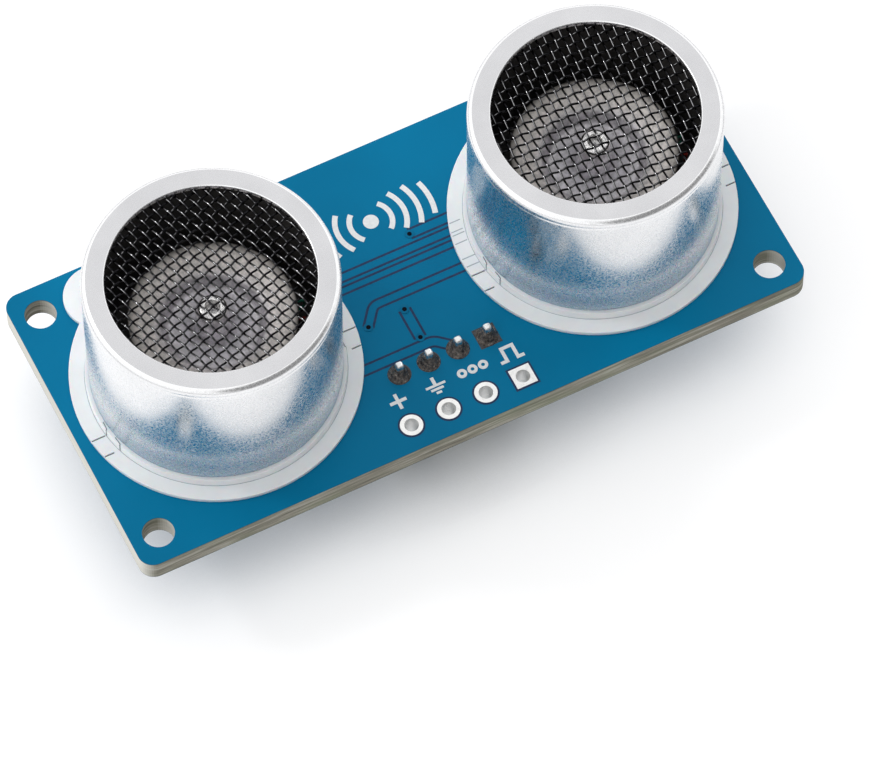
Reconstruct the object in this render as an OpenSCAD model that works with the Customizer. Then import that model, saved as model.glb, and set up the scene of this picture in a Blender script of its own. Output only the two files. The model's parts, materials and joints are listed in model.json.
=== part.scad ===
// Ultrasonic distance sensor module: a circuit board that carries a transmitter and a receiver
// transducer, each standing on a translucent light ring. Z = 0 is the board's rear face, at the
// centre of the mounting-hole pattern; +Z points out of the transducer mouths.

/* [Board] */
// Length of the circuit board along X
board_length = 45.4; // [44.8:0.1:50]
// Width of the circuit board along Y
board_width = 20.8; // [20.6:0.1:24]
// Thickness of the circuit board
board_thickness = 1.6; // [1:0.1:2]
// Radius of the board's corners
corner_radius = 1.0; // [0.4:0.1:1.4]

/* [Mounting holes] */
// Spacing of the mounting holes along X
mount_pitch_x = 41.8; // [41.6:0.1:42]
// Spacing of the mounting holes along Y
mount_pitch_y = 16.9; // [16.7:0.1:17.1]
// Diameter of each mounting hole
mount_hole_d = 2.0; // [1.6:0.1:2.2]

/* [Transducers] */
// Distance between the two transducer axes
transducer_pitch = 25.9; // [25.5:0.1:26.2]
// Outer diameter of each can
can_d = 15.7; // [15.4:0.1:15.9]
// Height of each can's top above the board's front face
can_top = 11.65; // [11:0.05:13]
// Diameter of each can's mouth
mouth_d = 12.8; // [11:0.1:13.4]
// Wall thickness of each can
can_wall = 0.4; // [0.3:0.05:0.5]
// Distance between the two terminal pins of a transducer
terminal_pitch = 10; // [9.8:0.1:10.2]

/* [Mesh] */
// Wire thickness of the woven mesh
mesh_wire = 0.15; // [0.1:0.01:0.2]
// Spacing of the mesh wires that run mostly along X
mesh_pitch_long = 0.65; // [0.5:0.05:1]
// Spacing of the mesh wires that run mostly along Y
mesh_pitch_cross = 0.52; // [0.5:0.02:1]

/* [Light ring] */
// Outer diameter of the light ring's flange
ring_d = 18.1; // [17.6:0.1:18.6]
// Thickness of the light ring's flange
flange_t = 0.3; // [0.2:0.05:0.5]
// Height of the collar that the can stands on
collar_h = 0.9; // [0.8:0.05:1.2]
// Radius of the round lobe at the ring's edge
lobe_r = 2.2; // [1.5:0.1:2.3]

/* [Connector] */
// Pitch of the rear connector's pins
plug_pitch = 2.0; // [1.8:0.05:2.1]
// Pitch of the empty header holes
header_pitch = 2.54; // [2.4:0.01:2.6]
// Bore of each plated header hole
header_bore_d = 0.9; // [0.8:0.05:1.1]
// Height of the rear connector's housing
plug_height = 6.0; // [5.5:0.1:7]

/* [Hidden] */

$fn = 96;
cut = 1;

// Board
front = board_thickness;
copper_t = 0.035;
via_places = [[1.95, 3.4], [-3.25, -1.4], [-0.7, -1.25], [-0.7, -3.45]];
via_bore_r = 0.15;
via_wall = 0.04;
via_pad_r = 0.3;

// Header row and connector row
pin_count = 4;
header_y = -8.7;
header_x = -0.1;
header_pad_r = 0.72;
header_square_pad = 1.38;
header_wall = 0.04;
plug_y = -5.2;
plug_pin = 0.5;
plug_hole_r = 0.4;
plug_length = (pin_count - 1) * plug_pitch + 3.9;
plug_depth = 4.5;
plug_pin_setback = 1.7;
plug_wall = 0.6;
plug_floor = 1.3;
plug_key_w = 1.0;
plug_tip = 1.3;
plug_pin_inset = 1.0;
fillet_r = 0.75;
fillet_h = 0.85;
fillet_tip_r = 0.36;

// Light ring
ring_r = ring_d / 2;
collar_r = 8.05;
collar_inner_r = 6.9;
lobe_offset = [4.25, 7.9];
slit_w = 0.1;
slit_places = [-1.15, -2.45];
slit_depth = 0.12;
led_size = 2.0;
led_t = 0.75;
led_ring_r = 5.3;
led_angles = [90, 210, 330];

// Transducer, measured upwards from the foot of the can
foot = front + collar_h;
can_r = can_d / 2;
can_h = can_top - collar_h;
bore_r = can_r - can_wall;
lip_t = 0.35;
edge_r = 0.25;
groove_depth = 0.07;
groove_h = 0.18;
mesh_t = 2 * mesh_wire;
mesh_border = 0.5;
mesh_angles = [18.5, -2];
holder_wall = 0.55;
holder_floor = 1.2;
holder_h = can_h - lip_t - mesh_t;
bender_z = 4.15;
bender_r = 4.6;
bender_t = 0.25;
piezo_r = 3.5;
piezo_t = 0.3;
cushion_r = 4.4;
cushion_inner_r = 3.7;
cone_z = bender_z + bender_t;
cone_t = 0.15;
cone_r = 5.2;
cone_rise = 1.55;
cone_floor_r = 2.9;
cone_step_r = 3.3;
cone_step = 0.85;
boss_foot_r = 1.25;
boss_r = 0.9;
boss_rise = 2.9;
dimple_r = 0.4;
dimple_depth = 0.5;
terminal_r = 0.4;
terminal_hole_r = 0.5;
terminal_top = 2.2;
terminal_tail = 1.5;
terminal_pad_r = 1.0;
terminal_fillet = 0.9;
lead_r = 0.12;
lead_loop_r = 5.5;
lead_sides = 8;

// Rear electronics
chip_t = 1.45;
chip_w = 3.9;
chip_gap = 0.1;
chip_span = 6.0;
chip_lead_w = 0.42;
chip_lead_t = 0.2;
chip_lead_pitch = 1.27;
controller_rows = 8;
amplifier_rows = 7;
driver_rows = 4;
chip_x = transducer_pitch / 2;
driver_place = [0, 4.6];
crystal_size = [3.2, 2.5, 0.8];
crystal_place = [-6.1, 4.2];
transistor_size = [2.9, 1.3, 1.0];
transistor_places = [[6.3, 3.4], [6.3, 7.6]];
transistor_leg = [0.4, 0.55, 0.15];
capacitor_size = [1.6, 0.8, 0.8];
resistor_size = [1.6, 0.8, 0.45];
end_cap = 0.3;
cap_row = [for (x = [-8.4 : 4.2 : 8.4]) [x, 9.3]];
cap_sides = [for (s = [-1, 1], x = [9.6, 16.3]) [s * x, 7.2]];
resistor_row = [for (s = [-1, 1], x = [7.6 : 2.6 : 16]) [s * x, -8.6]];

// Places a child on the transmitter's (side -1) or the receiver's (side +1) axis at height z.
module on_axis(side, z = 0) {
  translate([side * transducer_pitch / 2, 0, z]) children();
}

module box_at(x, y, z, size) {
  translate([x - size[0] / 2, y - size[1] / 2, z]) cube(size);
}

module ring_solid(outer_r, inner_r, h) {
  difference() {
    cylinder(r = outer_r, h = h);
    translate([0, 0, -cut]) cylinder(r = inner_r, h = h + 2 * cut);
  }
}

function unit(v) = v / norm(v);
function heading(points, i) = unit(points[min(i + 1, len(points) - 1)] - points[max(i - 1, 0)]);
// The points of one ring of the wire, in the plane across its heading.
function ring_points(centre, along, side, r) =
  let (u = unit(cross(along, side)), v = cross(along, u))
    [for (k = [0 : lead_sides - 1])
      centre + r * (cos(360 * k / lead_sides) * u + sin(360 * k / lead_sides) * v)];

// A wire of radius r swept along the given points, none of whose stretches runs along side.
module wire_path(points, r, side) {
  last = len(points) - 1;
  rings = [for (i = [0 : last]) each ring_points(points[i], heading(points, i), side, r)];
  walls = [for (i = [0 : last - 1], k = [0 : lead_sides - 1])
    let (a = i * lead_sides + k, b = i * lead_sides + (k + 1) % lead_sides)
      [a, b, b + lead_sides, a + lead_sides]];
  start = [for (k = [lead_sides - 1 : -1 : 0]) k];
  end = [for (k = [0 : lead_sides - 1]) last * lead_sides + k];
  polyhedron(points = rings, faces = concat(walls, [start, end]));
}

module at_mount_holes() {
  for (x = [-1, 1], y = [-1, 1])
    translate([x * mount_pitch_x / 2, y * mount_pitch_y / 2, 0]) children();
}

module at_terminals() {
  for (side = [-1, 1], s = [-1, 1])
    on_axis(side) translate([s * terminal_pitch / 2, 0, 0]) children();
}

module at_header_holes() {
  for (i = [0 : pin_count - 1])
    translate([header_x + (i - (pin_count - 1) / 2) * header_pitch, header_y, 0]) children();
}

module at_plug_pins() {
  for (i = [0 : pin_count - 1])
    translate([(i - (pin_count - 1) / 2) * plug_pitch, plug_y, 0]) children();
}

module board_outline() {
  half_x = board_length / 2 - corner_radius;
  half_y = board_width / 2 - corner_radius;
  square([board_length, 2 * half_y], center = true);
  square([2 * half_x, board_width], center = true);
  for (x = [-1, 1], y = [-1, 1])
    translate([x * half_x, y * half_y]) circle(corner_radius);
}

module through(r) {
  translate([0, 0, -cut]) cylinder(r = r, h = board_thickness + 2 * cut, $fn = 48);
}

module circuit_board() {
  color("steelblue") difference() {
    linear_extrude(board_thickness) board_outline();
    at_mount_holes() through(mount_hole_d / 2);
    at_terminals() through(terminal_hole_r);
    at_header_holes() through(header_bore_d / 2 + header_wall);
    at_plug_pins() through(plug_hole_r);
    for (place = via_places) translate(place) through(via_bore_r + via_wall);
  }
}

// A plated hole: a barrel through the board with a pad on each face; the last pad may be square.
module plated_hole(bore_r, wall, pad_r, square_pad = false) {
  difference() {
    union() {
      cylinder(r = bore_r + wall, h = board_thickness, $fn = 48);
      for (z = [-copper_t, board_thickness])
        if (square_pad) box_at(0, 0, z, [header_square_pad, header_square_pad, copper_t]);
        else translate([0, 0, z]) cylinder(r = pad_r, h = copper_t, $fn = 48);
    }
    through(bore_r);
  }
}

module board_header_plating() {
  color("lightgray") for (i = [0 : pin_count - 1])
    translate([header_x + (i - (pin_count - 1) / 2) * header_pitch, header_y, 0])
      plated_hole(header_bore_d / 2, header_wall, header_pad_r, i == pin_count - 1);
}

module copper_vias() {
  color("peru") for (place = via_places)
    translate(place) plated_hole(via_bore_r, via_wall, via_pad_r);
}

// Flange with a lobe, a raised collar under the can and two pairs of fine slits across the flange.
module light_ring(side) {
  color("whitesmoke") on_axis(side, front) difference() {
    union() {
      cylinder(r = ring_r, h = flange_t);
      translate([side * lobe_offset[0], lobe_offset[1], 0]) cylinder(r = lobe_r, h = flange_t);
      cylinder(r = collar_r, h = collar_h);
    }
    translate([0, 0, -cut]) cylinder(r = collar_inner_r, h = collar_h + 2 * cut);
    for (s = [-1, 1], y = slit_places)
      box_at(s * (collar_r + ring_r + cut) / 2, y, flange_t - slit_depth,
             [ring_r + cut - collar_r, slit_w, collar_h]);
  }
}

module leds(side) {
  color("white") on_axis(side, front) for (angle = led_angles)
    box_at(led_ring_r * cos(angle), led_ring_r * sin(angle), 0, [led_size, led_size, led_t]);
}

// Deep-drawn can: straight wall, fine bead groove, rounded edge and a flat lip round the mouth.
module can(side) {
  color("gainsboro") on_axis(side, foot) rotate_extrude() difference() {
    union() {
      square([can_r, can_h - edge_r]);
      square([can_r - edge_r, can_h]);
      translate([can_r - edge_r, can_h - edge_r]) circle(edge_r, $fn = 48);
    }
    translate([-cut, -cut]) square([bore_r + cut, can_h - lip_t + cut]);
    translate([-cut, -cut]) square([mouth_d / 2 + cut, can_h + 2 * cut]);
    translate([can_r - groove_depth, can_h - edge_r - groove_h]) square([cut, groove_h]);
  }
}

// Wire mesh: a lattice of square openings inside a pressed border, clamped between lip and holder.
module mesh(side, angle) {
  open_r = bore_r - mesh_border;
  nx = ceil(open_r / mesh_pitch_cross);
  ny = ceil(open_r / mesh_pitch_long);
  hole = [mesh_pitch_cross - mesh_wire, mesh_pitch_long - mesh_wire];
  color("dimgray") on_axis(side, foot + holder_h) linear_extrude(mesh_t) difference() {
    circle(bore_r);
    rotate(angle) for (i = [-nx : nx - 1], j = [-ny : ny - 1]) {
      place = [(i + 0.5) * mesh_pitch_cross, (j + 0.5) * mesh_pitch_long];
      if (norm(place) < open_r) translate(place) square(hole, center = true);
    }
  }
}

module holder(side) {
  color("dimgray") on_axis(side, foot) difference() {
    cylinder(r = bore_r, h = holder_h);
    translate([0, 0, holder_floor]) cylinder(r = bore_r - holder_wall, h = holder_h);
    for (s = [-1, 1])
      translate([s * terminal_pitch / 2, 0, -cut]) cylinder(r = terminal_r, h = 2 * cut + holder_floor);
  }
}

// Pressed cone that stands on the bending disc: a wide brim, a step down to a flat floor and a
// raised, dimpled boss in the middle.
module cone(side) {
  color("silver") on_axis(side, foot + cone_z) rotate_extrude() polygon([
    [0, 0], [cone_floor_r, 0], [cone_step_r, cone_step], [cone_r, cone_rise],
    [cone_r, cone_rise + cone_t], [cone_step_r - cone_t / 2, cone_step + cone_t],
    [cone_floor_r - cone_t / 2, cone_t], [boss_foot_r, cone_t], [boss_r, boss_rise],
    [dimple_r, boss_rise], [0, boss_rise - dimple_depth]]);
}

module bending_disc(side) {
  color("goldenrod") on_axis(side, foot + bender_z) cylinder(r = bender_r, h = bender_t);
}

module piezo_disc(side) {
  color("ivory") on_axis(side, foot + bender_z - piezo_t) cylinder(r = piezo_r, h = piezo_t);
}

module cushion(side) {
  color("white") on_axis(side, foot + holder_floor)
    ring_solid(cushion_r, cushion_inner_r, bender_z - holder_floor);
}

module terminal_pins(side) {
  color("silver") on_axis(side) for (s = [-1, 1])
    translate([s * terminal_pitch / 2, 0, -terminal_tail])
      cylinder(r = terminal_r, h = terminal_tail + foot + terminal_top, $fn = 48);
}

// One lead drops to the near terminal, the other runs round the cushion to the far terminal.
module lead_wires(side) {
  top = foot + bender_z + bender_t + lead_r;
  end = foot + terminal_top + lead_r;
  low = foot + holder_floor + 2 * lead_r;
  near_pin = terminal_pitch / 2;
  color("green") on_axis(side) {
    wire_path([[3.4, -0.5, top], [bender_r, -0.5, top], [5.7, -0.6, top], [6.0, -0.4, top - 1.2],
               [5.5, -0.1, end + 0.1], [near_pin, 0, end]], lead_r, [0, 1, 0]);
    wire_path(concat([[3.2, -1.4, top], [bender_r - 0.1, -1.5, top], [5.5, -1.7, top - 0.4]],
                     [for (a = [-20 : -15 : -170]) [lead_loop_r * cos(a), lead_loop_r * sin(a), low]],
                     [[-near_pin - 0.4, -0.2, end - 0.3], [-near_pin, 0, end]]), lead_r, [0, 0, 1]);
  }
}

// Solder that fills each terminal hole and rises round the tail on the rear face.
module transducer_solder() {
  color("silver") at_terminals() difference() {
    union() {
      translate([0, 0, -copper_t]) cylinder(r = terminal_pad_r, h = copper_t, $fn = 48);
      translate([0, 0, -copper_t - terminal_fillet])
        cylinder(r1 = terminal_r + 0.1, r2 = terminal_pad_r - 0.1, h = terminal_fillet, $fn = 48);
      cylinder(r = terminal_hole_r, h = board_thickness, $fn = 48);
    }
    translate([0, 0, -2 * cut]) cylinder(r = terminal_r, h = board_thickness + 4 * cut, $fn = 48);
  }
}

// Open-topped shroud on the rear face; the opening points along -Z and two slots key the plug.
module connector_housing() {
  y_low = plug_y - plug_pin_setback;
  inner_l = plug_length - 2 * plug_wall;
  inner_w = plug_depth - 2 * plug_wall;
  color("ivory") difference() {
    translate([-plug_length / 2, y_low, -plug_height]) cube([plug_length, plug_depth, plug_height]);
    translate([-inner_l / 2, y_low + plug_wall, -plug_height - cut])
      cube([inner_l, inner_w, plug_height - plug_floor + cut]);
    for (s = [-1, 1])
      box_at(s * plug_length / 4, y_low, -plug_height - cut,
             [plug_key_w, 2 * plug_wall + cut, plug_height - plug_floor + cut]);
    at_plug_pins() box_at(0, 0, -plug_height, [plug_pin, plug_pin, plug_height + cut]);
  }
}

module connector_pins() {
  color("silver") at_plug_pins()
    box_at(0, 0, plug_pin_inset - plug_height,
           [plug_pin, plug_pin, plug_height - plug_pin_inset + front + plug_tip]);
}

// Solder cone round each pin tip on the front face, filling the hole below it.
module connector_solder() {
  color("silver") at_plug_pins() difference() {
    union() {
      cylinder(r = plug_hole_r, h = front, $fn = 48);
      translate([0, 0, front]) cylinder(r1 = fillet_r, r2 = fillet_tip_r, h = fillet_h, $fn = 48);
    }
    box_at(0, 0, -cut, [plug_pin, plug_pin, front + fillet_h + 2 * cut]);
  }
}

// Moulded chip body on the rear face, its length along Y.
module chip_body(rows) {
  length = rows * chip_lead_pitch - 0.25;
  box_at(0, 0, -chip_gap - chip_t, [chip_w, length, chip_t]);
}

// Gull-wing legs on both sides: out of the body, down to the board and along it.
module chip_legs(rows) {
  shoulder = -chip_gap - chip_t / 2;
  reach = (chip_span - chip_w) / 2;
  foot_l = reach / 2;
  for (s = [-1, 1], i = [0 : rows - 1])
    translate([0, (i - (rows - 1) / 2) * chip_lead_pitch, 0]) {
      box_at(s * (chip_w / 2 + foot_l / 2), 0, shoulder, [foot_l, chip_lead_w, chip_lead_t]);
      box_at(s * (chip_w / 2 + foot_l - chip_lead_t / 2), 0, shoulder,
             [chip_lead_t, chip_lead_w, -shoulder]);
      box_at(s * (chip_w / 2 + reach - foot_l / 2 - chip_lead_t / 2), 0, -chip_lead_t,
             [foot_l + chip_lead_t, chip_lead_w, chip_lead_t]);
    }
}

module controller_chip() { color("dimgray") on_axis(-1) chip_body(controller_rows); }
module controller_leads() { color("silver") on_axis(-1) chip_legs(controller_rows); }
module amplifier_chip() { color("dimgray") on_axis(1) chip_body(amplifier_rows); }
module amplifier_leads() { color("silver") on_axis(1) chip_legs(amplifier_rows); }
module driver_chip() { color("dimgray") translate(driver_place) rotate(90) chip_body(driver_rows); }
module driver_leads() { color("silver") translate(driver_place) rotate(90) chip_legs(driver_rows); }

module crystal() {
  color("silver") box_at(crystal_place[0], crystal_place[1], -crystal_size[2], crystal_size);
}

module transistors() {
  color("dimgray") for (place = transistor_places)
    box_at(place[0], place[1], -chip_gap - transistor_size[2], transistor_size);
}

module transistor_leads() {
  reach = transistor_size[1] / 2 + transistor_leg[1] / 2;
  color("silver") for (place = transistor_places, leg = [[-0.95, -1], [0.95, -1], [0, 1]])
    box_at(place[0] + leg[0], place[1] + leg[1] * reach, -chip_gap - transistor_leg[2], transistor_leg);
}

// Body of a chip part between its two metal end caps.
module chip_part_body(place, size) {
  box_at(place[0], place[1], -size[2], [size[0] - 2 * end_cap, size[1], size[2]]);
}

module chip_part_ends(place, size) {
  for (s = [-1, 1])
    box_at(place[0] + s * (size[0] - end_cap) / 2, place[1], -size[2], [end_cap, size[1], size[2]]);
}

module chip_capacitors() {
  color("tan") for (place = concat(cap_row, cap_sides)) chip_part_body(place, capacitor_size);
}

module chip_resistors() {
  color("dimgray") for (place = resistor_row) chip_part_body(place, resistor_size);
}

module chip_end_caps() {
  color("silver") {
    for (place = concat(cap_row, cap_sides)) chip_part_ends(place, capacitor_size);
    for (place = resistor_row) chip_part_ends(place, resistor_size);
  }
}

circuit_board();
board_header_plating();
copper_vias();
light_ring(-1);  // transmitter_light_ring
light_ring(1);  // receiver_light_ring
leds(-1);  // transmitter_leds
leds(1);  // receiver_leds
can(-1);  // transmitter_can
can(1);  // receiver_can
mesh(-1, mesh_angles[0]);  // transmitter_mesh
mesh(1, mesh_angles[1]);  // receiver_mesh
holder(-1);  // transmitter_holder
holder(1);  // receiver_holder
cone(-1);  // transmitter_cone
cone(1);  // receiver_cone
bending_disc(-1);  // transmitter_bending_disc
bending_disc(1);  // receiver_bending_disc
piezo_disc(-1);  // transmitter_piezo_disc
piezo_disc(1);  // receiver_piezo_disc
cushion(-1);  // transmitter_cushion
cushion(1);  // receiver_cushion
terminal_pins(-1);  // transmitter_pins
terminal_pins(1);  // receiver_pins
lead_wires(-1);  // transmitter_lead_wires
lead_wires(1);  // receiver_lead_wires
transducer_solder();
connector_housing();
connector_pins();
connector_solder();
controller_chip();
controller_leads();
amplifier_chip();
amplifier_leads();
driver_chip();
driver_leads();
crystal();
transistors();
transistor_leads();
chip_capacitors();
chip_resistors();
chip_end_caps();
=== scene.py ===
"""Looks for the ultrasonic distance sensor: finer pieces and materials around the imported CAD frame."""
import json
import math

import bmesh
import bpy
from mathutils import Matrix, Vector, noise


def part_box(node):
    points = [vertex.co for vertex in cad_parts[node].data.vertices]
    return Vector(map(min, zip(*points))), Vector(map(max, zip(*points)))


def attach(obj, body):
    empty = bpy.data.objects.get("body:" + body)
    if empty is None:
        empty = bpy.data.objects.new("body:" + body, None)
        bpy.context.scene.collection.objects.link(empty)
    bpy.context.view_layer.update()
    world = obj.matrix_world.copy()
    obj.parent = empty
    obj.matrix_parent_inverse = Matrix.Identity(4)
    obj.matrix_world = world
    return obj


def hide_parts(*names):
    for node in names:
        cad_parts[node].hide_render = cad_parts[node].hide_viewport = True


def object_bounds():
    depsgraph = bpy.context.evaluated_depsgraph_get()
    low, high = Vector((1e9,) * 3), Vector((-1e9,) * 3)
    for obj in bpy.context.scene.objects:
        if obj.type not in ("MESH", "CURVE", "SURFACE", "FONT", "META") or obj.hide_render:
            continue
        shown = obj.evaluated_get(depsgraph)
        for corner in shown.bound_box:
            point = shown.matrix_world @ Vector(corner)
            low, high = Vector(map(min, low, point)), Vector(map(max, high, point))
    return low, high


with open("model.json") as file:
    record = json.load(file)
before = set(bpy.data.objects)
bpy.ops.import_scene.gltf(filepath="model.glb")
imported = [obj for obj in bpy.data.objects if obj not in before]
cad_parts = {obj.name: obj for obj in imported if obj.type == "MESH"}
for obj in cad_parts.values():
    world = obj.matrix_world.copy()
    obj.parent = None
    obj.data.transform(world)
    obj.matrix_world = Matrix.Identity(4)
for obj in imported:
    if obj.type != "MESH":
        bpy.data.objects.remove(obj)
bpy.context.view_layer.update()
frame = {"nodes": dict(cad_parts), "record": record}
nodes = frame["nodes"]
mounts = {mount["name"]: mount for mount in frame["record"]["mounts"]}

MM = 0.001


# ---------------------------------------------------------------- sizes read from the frame
def size_of(node):
    """Lowest corner, highest corner and centre of a CAD node, in mm."""
    low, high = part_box(node)
    low = Vector(low) / MM
    high = Vector(high) / MM
    return low, high, (low + high) / 2


BOARD_LOW, BOARD_HIGH, _ = size_of("circuit_board")
FRONT = BOARD_HIGH.z
SIDES = {"transmitter": -1, "receiver": 1}
CAN_LOW, CAN_HIGH, CAN_MID = size_of("receiver_can")
CAN_R = (CAN_HIGH.x - CAN_LOW.x) / 2
CAN_X = CAN_MID.x
MESH_LOW, MESH_HIGH, _ = size_of("receiver_mesh")
CONE_LOW, CONE_HIGH, _ = size_of("receiver_cone")
CONE_R = (CONE_HIGH.x - CONE_LOW.x) / 2
HOLDER_LOW, HOLDER_HIGH, _ = size_of("receiver_holder")
HOLDER_R = (HOLDER_HIGH.x - HOLDER_LOW.x) / 2
TIP_LOW, TIP_HIGH, _ = size_of("connector_pins")
PLUG_LOW, PLUG_HIGH, PLUG_MID = size_of("connector_housing")
FILLET_LOW, FILLET_HIGH, _ = size_of("connector_solder")


# ---------------------------------------------------------------- materials
class Shader:
    """Small helper that builds one node-based material round a Principled shader."""

    def __init__(self, name):
        self.material = bpy.data.materials.new(name)
        self.material.use_nodes = True
        self.tree = self.material.node_tree
        self.main = self.tree.nodes["Principled BSDF"]

    def node(self, kind, **settings):
        """A new node with its settings."""
        made = self.tree.nodes.new(kind)
        for key, value in settings.items():
            setattr(made, key, value)
        return made

    def link(self, source, target):
        self.tree.links.new(source, target)

    def set(self, **values):
        """Gives the Principled shader's inputs fixed values."""
        for key, value in values.items():
            self.main.inputs[key.replace("_", " ")].default_value = value
        return self

    def place(self):
        """The point's place in the object's own axes."""
        return self.node("ShaderNodeTexCoord").outputs["Object"]

    def split(self, vector):
        """X, Y and Z of a vector socket."""
        made = self.node("ShaderNodeSeparateXYZ")
        self.link(vector, made.inputs["Vector"])
        return made.outputs["X"], made.outputs["Y"], made.outputs["Z"]

    def calc(self, operation, source, value=None):
        """One step of arithmetic on a socket, with a fixed number as its second term."""
        made = self.node("ShaderNodeMath", operation=operation)
        self.link(source, made.inputs[0])
        if value is not None:
            made.inputs[1].default_value = value
        return made.outputs["Value"]

    def coords(self, stretch=(1, 1, 1)):
        """The point's place, scaled along each axis."""
        scale = self.node("ShaderNodeMapping")
        scale.inputs["Scale"].default_value = stretch
        self.link(self.place(), scale.inputs["Vector"])
        return scale.outputs["Vector"]

    def noise(self, size_mm, detail=3, rough=0.55, stretch=(1, 1, 1)):
        """Noise in lumps of about size_mm, drawn out along an axis where its stretch is below 1."""
        made = self.node("ShaderNodeTexNoise")
        made.inputs["Scale"].default_value = 1 / (size_mm * MM)
        made.inputs["Detail"].default_value = detail
        made.inputs["Roughness"].default_value = rough
        self.link(self.coords(stretch), made.inputs["Vector"])
        return made.outputs["Fac"]

    def ramp(self, source, stops):
        """Colour ramp with stops of (place, colour)."""
        made = self.node("ShaderNodeValToRGB")
        elements = made.color_ramp.elements
        while len(elements) < len(stops):
            elements.new(0.5)
        for element, (place, colour) in zip(elements, stops):
            element.position = place
            element.color = (*colour, 1)
        self.link(source, made.inputs["Fac"])
        return made.outputs["Color"]

    def grey_ramp(self, source, low, high, start=0.3, end=0.7):
        """Grey that goes from low to high while the source goes from start to end."""
        return self.ramp(source, [(start, (low,) * 3), (end, (high,) * 3)])

    def mix(self, fac, a, b):
        """Colour a where fac is 0 and b where it is 1; a and b are sockets or fixed colours."""
        made = self.node("ShaderNodeMix", data_type="RGBA")
        self.link(fac, made.inputs["Factor"])
        colour_in = [s for s in made.inputs if s.type == "RGBA"]
        for socket, value in zip(colour_in, (a, b)):
            if isinstance(value, tuple):
                socket.default_value = (*value, 1)
            else:
                self.link(value, socket)
        return [s for s in made.outputs if s.type == "RGBA"][0]

    def multiply(self, a, b):
        """The product of two colour sockets."""
        made = self.node("ShaderNodeMix", data_type="RGBA", blend_type="MULTIPLY")
        made.inputs["Factor"].default_value = 1
        colour_in = [s for s in made.inputs if s.type == "RGBA"]
        for socket, value in zip(colour_in, (a, b)):
            self.link(value, socket)
        return [s for s in made.outputs if s.type == "RGBA"][0]

    def axis_distance(self, x_mm, reach_mm):
        """Distance from the nearer of the two upright axes at plus and minus x_mm, as a share of reach_mm."""
        x, y, _ = self.split(self.place())
        flat = self.node("ShaderNodeCombineXYZ")
        self.link(self.calc("SUBTRACT", self.calc("ABSOLUTE", x), x_mm * MM), flat.inputs["X"])
        self.link(y, flat.inputs["Y"])
        length = self.node("ShaderNodeVectorMath", operation="LENGTH")
        self.link(flat.outputs["Vector"], length.inputs[0])
        return self.calc("DIVIDE", length.outputs["Value"], reach_mm * MM)

    def fade_up(self, start_mm, end_mm):
        """0 at height start_mm and 1 at height end_mm, either way up."""
        made = self.node("ShaderNodeMapRange", clamp=True)
        made.inputs["From Min"].default_value = start_mm * MM
        made.inputs["From Max"].default_value = end_mm * MM
        self.link(self.split(self.place())[2], made.inputs["Value"])
        return made.outputs["Result"]

    def facing_up(self, limit):
        """1 where the face's normal leans at least this far up or down, otherwise 0."""
        shape = self.node("ShaderNodeNewGeometry")
        up = self.split(shape.outputs["True Normal"])[2]
        return self.calc("GREATER_THAN", self.calc("ABSOLUTE", up), limit)

    def bump(self, *layers):
        """Each layer is (height source, strength, depth in mm)."""
        last = None
        for source, strength, depth_mm in layers:
            made = self.node("ShaderNodeBump")
            made.inputs["Strength"].default_value = strength
            made.inputs["Distance"].default_value = depth_mm * MM
            self.link(source, made.inputs["Height"])
            if last is not None:
                self.link(last, made.inputs["Normal"])
            last = made.outputs["Normal"]
        self.link(last, self.main.inputs["Normal"])


def solder_mask():
    """Blue mask on the faces, layered tan laminate on the edges and in the holes, with painted light making
    the left end paler.
    """
    s = Shader("solder_mask").set(Specular_IOR_Level=0.06)
    drift = s.noise(9, detail=2)
    fine = s.noise(0.6, detail=4)
    blue = s.ramp(drift, [(0.3, (0.0, 0.135, 0.27)), (0.7, (0.0, 0.16, 0.315))])
    layer = s.calc("DIVIDE", s.split(s.place())[2], (BOARD_HIGH.z - BOARD_LOW.z) * MM)
    streak = s.noise(0.5, detail=5, rough=0.7, stretch=(0.12, 0.12, 2.4))
    tan = s.ramp(streak, [(0.3, (0.10, 0.096, 0.076)), (0.5, (0.235, 0.225, 0.185)),
                          (0.68, (0.45, 0.44, 0.39))])
    tint = s.noise(1.6, detail=2, stretch=(0.4, 0.4, 1))
    tinted = s.mix(s.grey_ramp(tint, 0, 0.35, 0.45, 0.7), tan, (0.20, 0.24, 0.15))
    skin = s.ramp(layer, [(0.0, (1, 1, 1)), (0.035, (0, 0, 0)), (0.95, (0, 0, 0)), (0.985, (1, 1, 1))])
    shape = s.node("ShaderNodeNewGeometry")
    # Painted light: edges that face left get a paler laminate colour
    leftwards = s.calc("MULTIPLY", s.split(shape.outputs["True Normal"])[0], -1)
    painted_light_end = s.mix(s.grey_ramp(leftwards, 0, 0.72, 0.3, 0.95), tinted, (0.70, 0.69, 0.64))
    edge = s.mix(skin, painted_light_end, (0.02, 0.06, 0.09))
    is_face = s.facing_up(0.5)
    s.link(s.mix(is_face, edge, blue), s.main.inputs["Base Color"])
    rough = s.mix(is_face, (0.75, 0.75, 0.75), (0.3, 0.3, 0.3))
    s.link(rough, s.main.inputs["Roughness"])
    s.bump((fine, 0.12, 0.02), (streak, 0.25, 0.03))
    return s.material


# Heights over the can's foot, in mm: the top of the shaded flare, and where the painted bluish reflection of
# the board and the fine grain start and finish fading out. The flare's depth is in mm too.
FLARE_H = 2.4
FLARE_DEPTH = 0.31
BOARD_REFLECTION_H = (0.2, 1.9)
GRAIN_H = (1.5, 6.5)


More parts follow.
